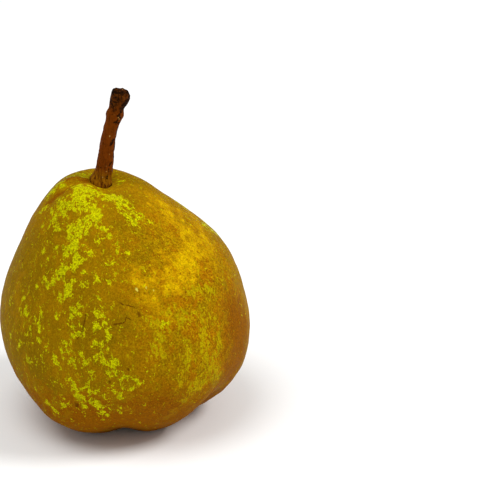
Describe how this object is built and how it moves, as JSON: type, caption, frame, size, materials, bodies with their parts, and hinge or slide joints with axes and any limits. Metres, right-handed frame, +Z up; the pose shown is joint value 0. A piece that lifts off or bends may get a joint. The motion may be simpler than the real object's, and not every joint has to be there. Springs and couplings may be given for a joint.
{
  "type": "winter nelis pear",
  "caption": "Small round-bellied pear standing upright, with a short thick woody stalk, lobed base and dried calyx in the basin underneath.",
  "frame": {"origin": "on the surface that the pear stands on, under the middle of its bounding box", "axes": "+Z up to the stalk, -Y out of the side seen first, +X to the right of that side"},
  "size_m": [0.0636, 0.0662, 0.0872],
  "materials": {
    "skin": "dry, faintly glossy skin, yellow-green under brown russet",
    "bark": "dull red-brown bark, nearly black at the cut end",
    "dry_calyx": "dull, dried brown sepals and stamens"
  },
  "bodies": {
    "root": {"fruit": "skin", "stalk": "bark", "calyx": "dry_calyx"}
  },
  "joints": []
}
